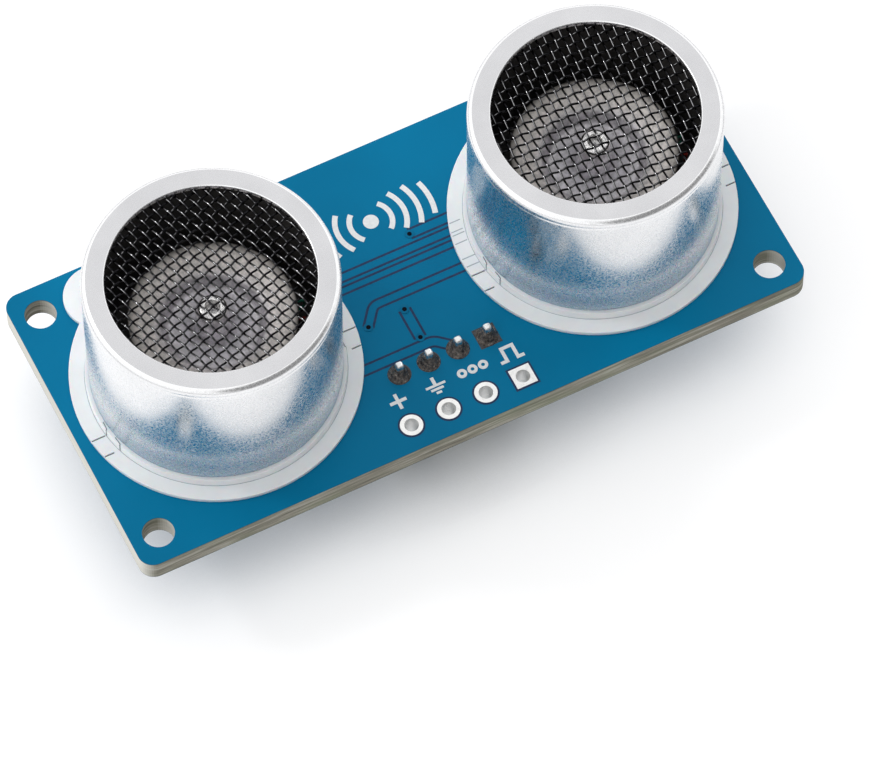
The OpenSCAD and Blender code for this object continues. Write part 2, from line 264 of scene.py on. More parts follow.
def can_aluminium():
    """Drawn aluminium with the grainy sheen of thin stamped sheet, a slight flare and a painted reflection of
    the board at the can's foot, and painted shade on the lip.
    """
    s = Shader("can_aluminium").set(Metallic=1.0)
    drift = s.noise(3.0, detail=3)
    speckle = s.noise(0.2, detail=5, rough=0.75)
    flecks = s.noise(0.13, detail=2, rough=0.6)
    streak = s.noise(0.5, detail=4, stretch=(1, 1, 0.08))
    wall = s.ramp(drift, [(0.3, (0.81, 0.815, 0.825)), (0.7, (0.88, 0.88, 0.89))])
    # Painted shade: the up-facing lip gets a darker copy of the wall's colour
    lip = s.ramp(drift, [(0.3, (0.56, 0.56, 0.575)), (0.7, (0.61, 0.61, 0.625))])
    # Painted reflection: a bluish band in the board's colour round the can's foot
    painted_board_reflection = s.mix(s.fade_up(*(CAN_LOW.z + height for height in BOARD_REFLECTION_H)), (0.40, 0.50, 0.58), wall)
    s.link(s.mix(s.facing_up(0.97), painted_board_reflection, lip), s.main.inputs["Base Color"])
    s.link(s.grey_ramp(flecks, 0.14, 0.38), s.main.inputs["Roughness"])
    flare = s.calc("POWER", s.fade_up(CAN_LOW.z + FLARE_H, CAN_LOW.z), 2)
    grain = s.grey_ramp(speckle, 0, 1, 0, 1)
    fine = s.mix(s.fade_up(*(CAN_LOW.z + height for height in GRAIN_H)), grain, (0.5, 0.5, 0.5))
    s.bump((flare, 1, FLARE_DEPTH), (fine, 0.5, 0.02), (flecks, 0.07, 0.012), (streak, 0.1, 0.01))
    return s.material


def light_guide():
    """Milky, slightly translucent white plastic."""
    s = Shader("light_guide").set(Roughness=0.45, Subsurface_Weight=0.3, Subsurface_Scale=0.0005)
    drift = s.noise(2.5, detail=3)
    milky = s.ramp(drift, [(0.3, (0.71, 0.73, 0.75)), (0.7, (0.78, 0.795, 0.81))])
    s.link(milky, s.main.inputs["Base Color"])
    s.bump((s.noise(0.3, detail=4), 0.12, 0.012))
    return s.material


# The way a wire's surface faces where a painted highlight makes it bright
GLINT_SIDE = (-0.56, -0.16, 0.81)


def mesh_steel():
    """Dark woven steel with a painted highlight on one side of each wire crest."""
    s = Shader("mesh_steel").set(Metallic=1.0)
    wear = s.noise(0.25, detail=3)
    dark = s.ramp(wear, [(0.3, (0.005, 0.005, 0.006)), (0.7, (0.022, 0.022, 0.025))])
    bright = s.ramp(wear, [(0.3, (0.30, 0.30, 0.31)), (0.7, (0.62, 0.62, 0.63))])
    shape = s.node("ShaderNodeNewGeometry")
    lean = s.node("ShaderNodeVectorMath", operation="DOT_PRODUCT")
    s.link(shape.outputs["Normal"], lean.inputs[0])
    lean.inputs[1].default_value = Vector(GLINT_SIDE).normalized()
    # Painted highlight: faces turned one way get the bright steel colour
    painted_glint = s.ramp(lean.outputs["Value"], [(0.955, (0, 0, 0)), (0.985, (1, 1, 1))])
    s.link(s.mix(painted_glint, dark, bright), s.main.inputs["Base Color"])
    s.link(s.grey_ramp(wear, 0.10, 0.2), s.main.inputs["Roughness"])
    return s.material


# Shares of the cone's radius, each with its tint, from the dimple over the boss, floor and step to the rim;
# the dark dimple, the darker ring by the boss's foot and the dark fade at the rim are painted shade
CONE_TONES_AND_SHADE = [(0.0, (0.10, 0.10, 0.11)), (0.08, (1.0, 0.99, 0.98)), (0.2, (0.95, 0.93, 0.95)),
              (0.3, (0.74, 0.72, 0.77)), (0.6, (0.97, 0.94, 0.97)), (0.72, (0.98, 0.93, 0.91)),
              (0.85, (1.0, 0.95, 0.92)), (0.93, (0.74, 0.70, 0.67)), (1.0, (0.14, 0.13, 0.12))]


def cone_aluminium():
    """Pressed foil, mottled, glossy on the boss and duller beyond, with painted shade in the dimple, round
    the boss's foot and at the brim's edge.
    """
    s = Shader("cone_aluminium").set(Metallic=1.0)
    mottle = s.noise(0.5, detail=5, rough=0.7)
    away = s.axis_distance(CAN_X, CONE_R)
    # Painted shade from the ramp darkens the dimple, the boss's foot and the brim's edge
    tone = s.multiply(s.ramp(away, CONE_TONES_AND_SHADE), s.grey_ramp(mottle, 0.66, 1.0, 0.4, 0.6))
    s.link(tone, s.main.inputs["Base Color"])
    dull = s.grey_ramp(mottle, 0.5, 0.7)
    s.link(s.mix(s.grey_ramp(away, 0, 1, 0.21, 0.26), (0.14, 0.14, 0.14), dull), s.main.inputs["Roughness"])
    s.bump((mottle, 0.35, 0.03))
    return s.material


# Y of the gap between a transducer's two lead wires, in mm
LEAD_GAP_Y = -0.8


def wire_insulation():
    """Green on the lead that drops straight down, red on the one beside it that runs round the cushion."""
    s = Shader("wire_insulation").set(Roughness=0.35)
    drift = s.noise(0.8)
    green = s.ramp(drift, [(0.3, (0.01, 0.20, 0.13)), (0.7, (0.02, 0.30, 0.20))])
    red = s.ramp(drift, [(0.3, (0.30, 0.02, 0.015)), (0.7, (0.42, 0.04, 0.03))])
    beyond = s.calc("GREATER_THAN", s.split(s.place())[1], LEAD_GAP_Y * MM)
    s.link(s.mix(beyond, red, green), s.main.inputs["Base Color"])
    return s.material


def plain(name, low, high, size_mm=0.6, rough=(0.4, 0.55), metallic=0.0, bump=0.15, depth_mm=0.01, **extra):
    """A material whose colour and roughness drift between two values, with a fine bump."""
    s = Shader(name).set(Metallic=metallic, **extra)
    drift = s.noise(size_mm, detail=4)
    s.link(s.ramp(drift, [(0.3, low), (0.7, high)]), s.main.inputs["Base Color"])
    s.link(s.grey_ramp(drift, rough[0], rough[1]), s.main.inputs["Roughness"])
    s.bump((s.noise(size_mm / 3, detail=4), bump, depth_mm))
    return s.material


# How far the floor's fade reaches from the middle, and how far the painted shadow that dims the floor's glow
# reaches, in mm
FLOOR_FADE = 150
SHADOW_REACH = 8


def studio_floor():
    """Pale matt floor with a glow that a painted shadow dims near the object, grey well outside the camera's
    view.
    """
    s = Shader("floor").set(Roughness=0.65, Emission_Strength=0.45)
    away = s.axis_distance(0, FLOOR_FADE)
    pale = s.ramp(away, [(0.3, (0.60, 0.60, 0.605)), (1.0, (0.28, 0.28, 0.285))])
    s.link(pale, s.main.inputs["Base Color"])
    glow = s.ramp(away, [(0.3, (1, 1, 1)), (1.0, (0.45, 0.45, 0.46))])
    # Painted shadow: the glow dims where the object hides the sky close by
    open_sky = s.node("ShaderNodeAmbientOcclusion", samples=16)
    open_sky.inputs["Distance"].default_value = SHADOW_REACH * MM
    lit = s.grey_ramp(open_sky.outputs["AO"], 0, 1, 0.35, 0.9)
    s.link(s.mix(lit, (0, 0, 0), glow), s.main.inputs["Emission Color"])
    return s.material


WHITE_INK = plain("white_ink", (0.66, 0.68, 0.69), (0.76, 0.77, 0.77), 0.2, (0.45, 0.6), 0, 0.3)
GAP_TINT = plain("gap_tint", (0.012, 0.034, 0.085), (0.026, 0.045, 0.105), 0.3, (0.4, 0.5),
                 Specular_IOR_Level=0.1)
# Grey for the tracks that show through the light rings, also used for the painted shadow line at each
# collar's foot
GHOST_AND_SHADOW_LINE = plain("ghost_line", (0.30, 0.34, 0.37), (0.38, 0.42, 0.45), 0.4)
SLIT_SHADE = plain("slit_shade", (0.06, 0.08, 0.10), (0.12, 0.14, 0.17), 0.4)
VIA_MASK = plain("via_mask", (0.0, 0.12, 0.24), (0.002, 0.14, 0.275), 0.3, (0.3, 0.4),
                 Specular_IOR_Level=0.06)
# Painted shade: a near-black disc over each via stands in for the shade in its hole
VIA_HOLE_SHADE = plain("via_hole_shade", (0.003, 0.004, 0.008), (0.008, 0.01, 0.016), 0.1, (0.9, 1.0),
                 Specular_IOR_Level=0.05)
FLUXED_SOLDER = plain("fluxed_solder", (0.010, 0.008, 0.008), (0.26, 0.22, 0.19), 0.2, (0.08, 0.3), 0.6,
                      1.0, 0.1)
DARK_LAND = plain("dark_land", (0.015, 0.016, 0.02), (0.05, 0.048, 0.05), 0.3, (0.2, 0.4), 0.2, 0.4)
CHIP_MARK = plain("chip_mark", (0.07, 0.07, 0.072), (0.11, 0.11, 0.112), 0.2, (0.4, 0.5))
FLOOR = studio_floor()

MATERIALS = {
    "solder_mask": solder_mask(),
    "can_aluminium": can_aluminium(),
    "light_guide": light_guide(),
    "mesh_steel": mesh_steel(),
    "tinned_copper": plain("tinned_copper", (0.72, 0.72, 0.71), (0.86, 0.86, 0.85), 0.4, (0.25, 0.4), 0.9),
    "copper": VIA_MASK,
    "led": plain("led", (0.75, 0.75, 0.72), (0.85, 0.85, 0.82), 0.5),
    "black_moulding": plain("black_moulding", (0.02, 0.019, 0.018), (0.045, 0.042, 0.04), 0.8, (0.5, 0.7)),
    "cone_aluminium": cone_aluminium(),
    "bending_brass": plain("bending_brass", (0.60, 0.45, 0.18), (0.72, 0.55, 0.25), 0.8, (0.3, 0.45), 1.0),
    "piezo_ceramic": plain("piezo_ceramic", (0.62, 0.58, 0.50), (0.72, 0.68, 0.60), 0.8),
    "silicone": plain("silicone", (0.75, 0.75, 0.73), (0.85, 0.85, 0.83), 0.8),
    "pin_metal": plain("pin_metal", (0.62, 0.62, 0.62), (0.80, 0.80, 0.79), 0.3, (0.22, 0.38), 1.0),
    "wire_insulation": wire_insulation(),
    "solder": plain("solder", (0.30, 0.30, 0.30), (0.62, 0.62, 0.61), 0.22, (0.2, 0.45), 1.0, 0.5, 0.03),
    "connector_white": plain("connector_white", (0.74, 0.71, 0.62), (0.82, 0.79, 0.71), 1.2, (0.4, 0.5)),
    "chip_black": plain("chip_black", (0.012, 0.012, 0.014), (0.03, 0.03, 0.032), 0.12, (0.45, 0.6), 0, 0.4),
    "crystal_metal": plain("crystal_metal", (0.60, 0.58, 0.52), (0.75, 0.73, 0.68), 0.5, (0.25, 0.35), 1.0),
    "capacitor_ceramic": plain("capacitor_ceramic", (0.30, 0.17, 0.08), (0.42, 0.26, 0.13), 0.3),
}


# ---------------------------------------------------------------- mesh helpers
def finish_piece(name, mesh, material, replaced=(), smooth_angle=35):
    """Makes the object, shades it, gives it its material and puts it on the body."""
    mesh.validate()
    for face in mesh.polygons:
        face.use_smooth = True
    mesh.set_sharp_from_angle(angle=math.radians(smooth_angle))
    piece = bpy.data.objects.new(name, mesh)
    bpy.context.scene.collection.objects.link(piece)
    mesh.materials.append(material)
    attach(piece, "root")
    if replaced:
        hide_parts(*replaced)


def mesh_from(name, points_mm, faces):
    """A mesh from points in mm."""
    mesh = bpy.data.meshes.new(name)
    mesh.from_pydata([Vector(p) * MM for p in points_mm], [], faces)
    return mesh


def rounded(points, radii, steps=6):
    """A closed outline with its corners rounded; radii has one value per corner, in mm."""
    out = []
    count = len(points)
    for i, (corner, radius) in enumerate(zip(points, radii)):
        corner = Vector(corner)
        if radius <= 0:
            out.append(corner)
            continue
        back = (Vector(points[i - 1]) - corner).normalized()
        ahead = (Vector(points[(i + 1) % count]) - corner).normalized()
        half = math.acos(max(-1, min(1, back.dot(ahead)))) / 2
        reach = radius / math.tan(half)
        centre = corner + (back + ahead).normalized() * radius / math.sin(half)
        start = corner + back * reach - centre
        end = corner + ahead * reach - centre
        turn = start.angle_signed(end)
        for k in range(steps + 1):
            angle = -turn * k / steps
            out.append(centre + Matrix.Rotation(angle, 2) @ start)
    return out


def lathe(outline, centre, segments):
    """Points and faces of a closed outline of (radius, z) turned round a vertical axis."""
    points = []
    faces = []
    count = len(outline)
    for k in range(segments):
        angle = 2 * math.pi * k / segments
        for r, z in outline:
            points.append((centre[0] + r * math.cos(angle), centre[1] + r * math.sin(angle), z))
    for k in range(segments):
        here = k * count
        there = (k + 1) % segments * count
        for i in range(count):
            j = (i + 1) % count
            faces.append((here + i, there + i, there + j, here + j))
    return points, faces


# Points closer than this are one point
MERGE = 0.0005 * MM


def clean(mesh):
    """The mesh with doubled points merged and its faces turned outwards."""
    bm = bmesh.new()
    bm.from_mesh(mesh)
    bmesh.ops.remove_doubles(bm, verts=bm.verts, dist=MERGE)
    bmesh.ops.dissolve_degenerate(bm, dist=MERGE / 2, edges=bm.edges)
    bmesh.ops.recalc_face_normals(bm, faces=bm.faces)
    bm.to_mesh(mesh)
    bm.free()
    return mesh


def add_piece(name, shape, material, replaced=(), smooth_angle=35):
    """A finished piece from a (points, faces) pair, cleaned first."""
    finish_piece(name, clean(mesh_from(name, *shape)), material, replaced, smooth_angle)


def tube(points, radius, sides=8):
    """Points and faces of a closed round tube through points, all in mm."""
    rings = []
    faces = []
    last = len(points) - 1
    side = None
    for i, point in enumerate(points):
        along = (Vector(points[min(i + 1, last)]) - Vector(points[max(i - 1, 0)])).normalized()
        if side is None:
            side = along.orthogonal().normalized()
        side = (side - along * side.dot(along)).normalized()
        up = along.cross(side)
        for k in range(sides):
            angle = 2 * math.pi * k / sides
            rings.append(Vector(point) + radius * (math.cos(angle) * side + math.sin(angle) * up))
    for i in range(last):
        for k in range(sides):
            a = i * sides + k
            b = i * sides + (k + 1) % sides
            faces.append((a, b, b + sides, a + sides))
    faces.append(tuple(reversed(range(sides))))
    faces.append(tuple(last * sides + k for k in range(sides)))
    return rings, faces


def join(parts):
    """Several (points, faces) pairs as one."""
    points = []
    faces = []
    for part_points, part_faces in parts:
        start = len(points)
        points.extend(part_points)
        faces.extend(tuple(start + i for i in face) for face in part_faces)
    return points, faces


# ---------------------------------------------------------------- transducers
# All in mm; the turn of each mesh is in degrees, and the wire is a little thinner than its place in the weave
LIP_R = 6.4
LIP_T = CAN_HIGH.z - MESH_HIGH.z
CAN_WALL = CAN_R - HOLDER_R
CAN_SEGMENTS = 192
PART_SEGMENTS = 144
MESH_PITCH = (0.65, 0.52)
MESH_TURN = {"transmitter": 18.5, "receiver": -2}
WEAVE_RISE = (MESH_HIGH.z - MESH_LOW.z) / 4
WIRE_R = WEAVE_RISE * 0.88
STEPS_PER_CROSSING = 6


def can_outline():
    """Half section of the can: straight wall, a shallow groove under the rolled edge, and the flat lip."""
    top = CAN_HIGH.z
    foot = CAN_LOW.z
    inner = CAN_R - CAN_WALL
    wall = CAN_R - 0.02
    groove = CAN_R - 0.05
    outline = [(inner, foot), (wall, foot), (wall, top - 0.82), (groove, top - 0.7),
               (groove, top - 0.62), (CAN_R, top - 0.52), (CAN_R, top), (LIP_R, top),
               (LIP_R, top - LIP_T), (inner, top - LIP_T)]
    radii = [0.03, 0.08, 0.08, 0.04, 0.04, 0.04, 0.42, 0.1, 0.03, 0.05]
    return rounded(outline, radii)


def holder_outline():
    """Half section of the black holder: a thick floor and a thin sleeve."""
    wall = 0.55
    floor = HOLDER_LOW.z + 1.2
    top = HOLDER_HIGH.z
    outline = [(0, HOLDER_LOW.z), (HOLDER_R, HOLDER_LOW.z), (HOLDER_R, top), (HOLDER_R - wall, top),
               (HOLDER_R - wall, floor), (0, floor)]
    return rounded(outline, [0, 0.1, 0.05, 0.12, 0.3, 0])


def cone_outline():
    """A pressed cone: wide brim, step down to a flat floor and a dimpled boss, all softly rounded."""
    low = CONE_LOW.z
    t = 0.15
    rise = 1.55
    step = 0.85
    boss = CONE_HIGH.z
    outline = [(0, low), (2.9, low), (3.3, low + step), (CONE_R, low + rise), (CONE_R, low + rise + t),
               (3.22, low + step + t), (2.82, low + t), (1.25, low + t), (0.9, boss), (0.45, boss),
               (0.3, boss - 0.5), (0, boss - 0.5)]
    return rounded(outline, [0, 0.2, 0.25, 0.05, 0.07, 0.3, 0.25, 0.35, 0.3, 0.08, 0.08, 0])


def woven_mesh(x, turn):
    """Two families of crimped round wires that pass over and under each other."""
    reach = HOLDER_R - 0.08
    middle = (MESH_LOW.z + MESH_HIGH.z) / 2
    spin = Matrix.Rotation(math.radians(turn), 3, "Z")
    parts = []
    for along, (own, other) in enumerate((MESH_PITCH, MESH_PITCH[::-1])):
        sign = 1 if along == 0 else -1
        count = int(reach / own)
        for i in range(-count, count + 1):
            offset = i * own
            half = math.sqrt(max(0, reach * reach - offset * offset))
            if half < other:
                continue
            steps = max(8, int(2 * half / other * STEPS_PER_CROSSING))
            path = []
            for k in range(steps + 1):
                s = -half + 2 * half * k / steps
                z = sign * WEAVE_RISE * math.cos(math.pi * (s / other + i))
                place = (s, offset, z) if along == 0 else (offset, s, z)
                path.append(spin @ Vector(place) + Vector((x, 0, middle)))
            parts.append(tube(path, WIRE_R))
    return join(parts)


def make_transducer(name, side):
    """The can, sleeve, cone and mesh that stand for the CAD's."""
    x = side * CAN_X
    for piece, outline, segments, slot, node in (
            ("can_shell", can_outline(), CAN_SEGMENTS, "can_aluminium", "can"),
            ("sleeve", holder_outline(), PART_SEGMENTS, "black_moulding", "holder"),
            ("pressed_cone", cone_outline(), PART_SEGMENTS, "cone_aluminium", "cone")):
        add_piece(f"{name}_{piece}", lathe(outline, (x, 0), segments), MATERIALS[slot],
                  [f"{name}_{node}"])
    mesh = mesh_from(f"{name}_woven_mesh", *woven_mesh(x, MESH_TURN[name]))
    finish_piece(f"{name}_woven_mesh", mesh, MATERIALS["mesh_steel"], [f"{name}_mesh"], 80)


for name, side in SIDES.items():
    make_transducer(name, side)

# ---------------------------------------------------------------- CAD nodes that keep their shape
slots = {entry["node"]: entry["material_slot"] for entry in frame["record"]["subparts"]}
for node_name, node in nodes.items():
    material = MATERIALS[slots[node_name]]
    node.data.materials.clear()
    node.data.materials.append(material)

# Width of each node's softened edges, in mm
BEVELS = {
    "connector_housing": 0.12, "controller_chip": 0.15, "amplifier_chip": 0.15, "driver_chip": 0.15,
    "crystal": 0.12, "transistors": 0.12, "chip_capacitors": 0.06, "chip_resistors": 0.05,
    "chip_end_caps": 0.05, "controller_leads": 0.05, "amplifier_leads": 0.05, "driver_leads": 0.05,
    "transistor_leads": 0.04, "connector_pins": 0.16, "transmitter_leds": 0.08, "receiver_leds": 0.08,
    "transmitter_light_ring": 0.08, "receiver_light_ring": 0.08,
}
for node_name, width in BEVELS.items():
    weld = nodes[node_name].modifiers.new("weld", "WELD")
    weld.merge_threshold = 0.002 * MM
    bevel = nodes[node_name].modifiers.new("bevel", "BEVEL")
    bevel.width = width * MM
    bevel.segments = 3
    bevel.limit_method = "ANGLE"
    bevel.angle_limit = math.radians(40)
    bevel.harden_normals = False


# ---------------------------------------------------------------- traces and print on the front face
def offset_path(path, distance):
    """The path moved sideways by distance, with its bends mitred."""
    out = []
    for i, point in enumerate(path):
        before = (path[i] - path[i - 1]).normalized() if i else (path[1] - path[0]).normalized()
        after = (path[i + 1] - path[i]).normalized() if i < len(path) - 1 else before
        mid = (before + after).normalized()
        normal = Vector((-mid.y, mid.x))
        stretch = 1 / max(0.3, mid.dot(before))
        out.append(point + normal * distance * stretch)
    return out


def smooth_path(points, radius=0.35, steps=5):
    """An open path with its inner corners rounded."""
    path = [Vector(p) for p in points]
    out = [path[0]]
    for i in range(1, len(path) - 1):
        back = (path[i - 1] - path[i])
        ahead = (path[i + 1] - path[i])
        reach = min(radius, back.length / 2, ahead.length / 2)
        start = path[i] + back.normalized() * reach
        end = path[i] + ahead.normalized() * reach
        for k in range(steps + 1):
            t = k / steps
            out.append((1 - t) ** 2 * start + 2 * t * (1 - t) * path[i] + t * t * end)
    out.append(path[-1])
    return out


def strip(path, width, z, thickness):
    """A flat ribbon of the given width and thickness along an open path, with its faces outwards."""
    left = offset_path(path, width / 2)
    right = offset_path(path, -width / 2)
    points = []
    faces = []
    for a, b in zip(left, right):
        points += [(a.x, a.y, z), (b.x, b.y, z), (b.x, b.y, z + thickness), (a.x, a.y, z + thickness)]
    for i in range(len(left) - 1):
        base = 4 * i
        for k in range(4):
            faces.append((base + k, base + (k + 1) % 4, base + 4 + (k + 1) % 4, base + 4 + k))
    last = 4 * (len(left) - 1)
    faces.append((3, 2, 1, 0))
    faces.append((last, last + 1, last + 2, last + 3))
    return points, faces


def arc(centre, radius, start, end, steps=24):
    """Points along part of a circle, between two angles in degrees."""
    return [Vector((centre[0] + radius * math.cos(math.radians(start + (end - start) * k / steps)),
                    centre[1] + radius * math.sin(math.radians(start + (end - start) * k / steps))))
            for k in range(steps + 1)]


def annulus(centre, outer, inner, z, thickness, steps=48):
    """A flat ring, upwards from z."""
    return lathe([(inner, z), (outer, z), (outer, z + thickness), (inner, z + thickness)], centre, steps)


# Middle line and half width of each track on the front face, in mm
TRACES = [
    ([(1.95, 3.4), (5.6, 3.4)], 0.34),
    ([(-5.2, 2.47), (5.2, 2.47)], 0.3),
    ([(-5.2, 1.6), (5.2, 1.6)], 0.25),
    ([(-3.25, -1.4), (-2.3, -0.16), (4.9, -0.16)], 0.3),
    ([(-0.7, -1.25), (-0.7, -3.45)], 0.36),
    ([(-6.2, -4.02), (-0.1, -4.02), (0.95, -4.95)], 0.34),
]
VIA_PLACES = [(1.95, 3.4), (-3.25, -1.4), (-0.7, -1.25), (-0.7, -3.45)]
VIA_TOP = FRONT + 0.035
GAP_WIDTH = 0.15
GAP_T = 0.004


def clearance_lines(tracks, width, z):
    """Lines of the given width, upwards from z, on both sides of each track."""
    parts = []
    for points, half in tracks:
        path = smooth_path(points)
        for sign in (-1, 1):
            parts.append(strip(offset_path(path, sign * half), width, z, GAP_T))
    return join(parts)


add_piece("trace_clearances", clearance_lines(TRACES, GAP_WIDTH, FRONT), GAP_TINT)

# Near-black discs over the vias: painted shade for their holes
dots = join([annulus(place, 0.14, 0.01, VIA_TOP, 0.006, 24) for place in VIA_PLACES])
add_piece("via_mouths", dots, VIA_HOLE_SHADE)

PAD_LOW, PAD_HIGH, PAD_MID = size_of("board_header_plating")
PAD_R = (PAD_HIGH.y - PAD_LOW.y) / 2
SQUARE_PAD = 1.38
MASK_GAP = 0.13
MASK_OVERLAP = 0.02
MASK_LIP_T = 0.005
HEADER_X = [mounts[f"header_hole_{i + 1}"]["pos_m"][0] / MM for i in range(4)]
HEADER_Y = PAD_MID.y


def square_frame(centre, outer, inner, z, thickness):
    """A square ring: a four-sided annulus turned an eighth."""
    points, faces = annulus((0, 0), outer / math.sqrt(2), inner / math.sqrt(2), z, thickness, 4)
    turn = Matrix.Rotation(math.radians(45), 3, "Z")
    return [turn @ Vector(point) + Vector((*centre, 0)) for point in points], faces


mask_lips = [annulus((x, HEADER_Y), PAD_R + MASK_GAP, PAD_R - MASK_OVERLAP, FRONT, MASK_LIP_T)
             for x in HEADER_X[:3]]
mask_lips.append(square_frame((HEADER_X[3], HEADER_Y), SQUARE_PAD + 2 * MASK_GAP,
                              SQUARE_PAD - 2 * MASK_OVERLAP, FRONT, MASK_LIP_T))
add_piece("pad_clearances", join(mask_lips), GAP_TINT)

INK_T = 0.02
SYMBOL_SHIFT = 1.83


def ink_line(points, width):
    """A printed line on the front face."""
    return strip([Vector(p) for p in points], width, FRONT, INK_T)


def prism(outline, z, thickness):
    """Points and faces of a flat shape with straight sides, upwards from z."""
    count = len(outline)
    points = [(x, y, z) for x, y in outline] + [(x, y, z + thickness) for x, y in outline]
    faces = [tuple(reversed(range(count))), tuple(range(count, 2 * count))]
    faces += [(i, (i + 1) % count, count + (i + 1) % count, count + i) for i in range(count)]
    return points, faces


def plus_outline(x, y, reach, half):
    """A plus sign round (x, y), with arms that reach out and have the given half width."""
    corners = [(half, half), (half, reach), (-half, reach), (-half, half), (-reach, half), (-reach, -half),
               (-half, -half), (-half, -reach), (half, -reach), (half, -half), (reach, -half), (reach, half)]
    return [(x + dx, y + dy) for dx, dy in corners]


def ink_disc(centre, radius, z, segments):
    """A printed dot, upwards from z."""
    return annulus(centre, radius, 0.001, z, INK_T, segments)


def pin_symbols():
    """A plus, an earth sign, three dots and a square pulse beside the four header holes."""
    y = HEADER_Y + SYMBOL_SHIFT
    w = 0.22
    plus_x, earth_x, dots_x, pulse_x = HEADER_X
    parts = [prism(plus_outline(plus_x, y, 0.55, w / 2), FRONT, INK_T),
             ink_line([(earth_x, y + 0.58), (earth_x, y + 0.06)], w)]
    for drop, half in ((0.02, 0.66), (0.28, 0.42), (0.54, 0.18)):
        parts.append(ink_line([(earth_x - half, y - drop), (earth_x + half, y - drop)], 0.16))
    for shift in (-0.72, 0, 0.72):
        parts.append(annulus((dots_x + shift, y), 0.32, 0.12, FRONT, INK_T, 28))
    pulse = [(-0.8, -0.46), (-0.37, -0.46), (-0.37, 0.46), (0.37, 0.46), (0.37, -0.46), (0.8, -0.46)]
    parts.append(ink_line([(pulse_x + dx, y + dy) for dx, dy in pulse], w))
    return join(parts)


def wave_symbol():
    """A dot with sound-wave arcs on both sides, between the cans."""
    centre = (0.2, 5.25)
    parts = [ink_disc(centre, 0.5, FRONT, 32)]
    for turn in (0, 180):
        for radius in (1.35, 2.25, 3.15, 4.05):
            spread = 62 - 11 * radius
            parts.append(strip(arc(centre, radius, turn - spread, turn + spread), 0.34, FRONT, INK_T))
    return join(parts)


# ---------------------------------------------------------------- print, tracks and solder on the rear face
REAR = BOARD_LOW.z
REAR_INK = REAR - INK_T
# Legs in each of a chip's two rows, their pitch, and their solder lands in mm
CHIP_ROWS = {"controller": 8, "amplifier": 7, "driver": 4}
LEAD_PITCH = 1.27
LAND_LENGTH = 1.0
LAND_WIDTH = 0.62
LAND_T = 0.035
LAND_BEYOND = 0.25


def block(x0, y0, x1, y1, z, thickness):
    """A flat rectangle between two corners, upwards from z."""
    return prism([(x0, y0), (x1, y0), (x1, y1), (x0, y1)], z, thickness)


def corner_marks(low, high, gap=0.35, arm=0.7, width=0.16):
    """Four printed L shapes round the corners of a part on the rear face."""
    parts = []
    for sx, x in ((-1, low.x - gap), (1, high.x + gap)):
        for sy, y in ((-1, low.y - gap), (1, high.y + gap)):
            outline = [(x, y), (x - sx * arm, y), (x - sx * arm, y - sy * width),
                       (x - sx * width, y - sy * width), (x - sx * width, y - sy * arm), (x, y - sy * arm)]
            parts.append(prism(outline, REAR_INK, INK_T))
    return parts


def rear_print():
    """Corner marks round the parts, a dot beside each first pin, and two bars and a plus by the plug."""
    parts = []
    for chip in CHIP_ROWS:
        low, high, _ = size_of(f"{chip}_leads")
        parts += corner_marks(low, high)
        parts.append(ink_disc((low.x - 0.55, high.y - 1.3), 0.3, REAR_INK, 28))
    low, high, _ = size_of("crystal")
    parts += corner_marks(low, high, 0.3, 0.6)
    for side in (-1, 1):
        x = PLUG_MID.x + side * (PLUG_HIGH.x - PLUG_LOW.x + 1.6) / 2
        parts.append(block(x - 0.08, PLUG_LOW.y + 1.2, x + 0.08, PLUG_HIGH.y + 0.3, REAR_INK, INK_T))
    x = PLUG_LOW.x - 1.9
    parts.append(prism(plus_outline(x, PLUG_HIGH.y - 0.8, 0.5, 0.09), REAR_INK, INK_T))
    return join(parts)


def lead_solder():
    """Thin tinned lands along the left and right edges of each chip, under the legs of the larger two.

    The driver is turned a quarter, so its lands lie under its body and miss its legs.
    """
    parts = []
    for chip, rows in CHIP_ROWS.items():
        low, high, mid = size_of(f"{chip}_leads")
        for i in range(rows):
            y = mid.y + (i - (rows - 1) / 2) * LEAD_PITCH
            for side, edge in ((-1, low.x), (1, high.x)):
                outer = edge + side * LAND_BEYOND
                inner = outer - side * LAND_LENGTH
                parts.append(block(min(outer, inner), y - LAND_WIDTH / 2,
                                   max(outer, inner), y + LAND_WIDTH / 2, REAR - LAND_T, LAND_T))
    return join(parts)


# Middle line of each track on the rear face, the half width of all of them, and their mask gap, in mm
REAR_PATHS = [
    [(-9.6, -0.64), (-4.2, -0.64), (-3.0, -1.84), (-3.0, -3.0)],
    [(-9.6, 0.64), (-2.2, 0.64), (-1.0, -0.56), (-1.0, -3.0)],
    [(9.6, -1.27), (4.2, -1.27), (3.0, -2.47), (3.0, -3.0)],
    [(9.6, 0), (2.2, 0), (1.0, -1.2), (1.0, -3.0)],
    [(9.6, 1.27), (3.4, 1.27), (1.9, 1.27)],
    [(-9.6, 3.18), (-8.2, 3.18)],
    [(-9.6, 4.45), (-8.2, 4.45)],
    [(-9.6, 1.91), (-2.6, 1.91), (-1.9, 1.3)],
    [(4.6, 4.6), (3.4, 5.8), (3.4, 7.9), (2.6, 8.4)],
]
REAR_HALF = 0.2
REAR_GAP_WIDTH = 0.1


def chip_dimples():
    """A shallow ring for the first pin on each chip's moulded face."""
    parts = []
    for chip in CHIP_ROWS:
        low, high, _ = size_of(f"{chip}_chip")
        parts.append(annulus((low.x + 0.75, high.y - 0.75), 0.3, 0.22, low.z - 0.004, 0.006, 28))
    return join(parts)


add_piece("rear_print", rear_print(), WHITE_INK)
add_piece("chip_leg_solder", lead_solder(), MATERIALS["solder"])
rear_tracks = [(path, REAR_HALF) for path in REAR_PATHS]
add_piece("rear_clearances", clearance_lines(rear_tracks, REAR_GAP_WIDTH, REAR - GAP_T), GAP_TINT)
add_piece("chip_pin_marks", chip_dimples(), CHIP_MARK)

add_piece("pin_symbols", pin_symbols(), WHITE_INK)
add_piece("wave_symbol", wave_symbol(), WHITE_INK)


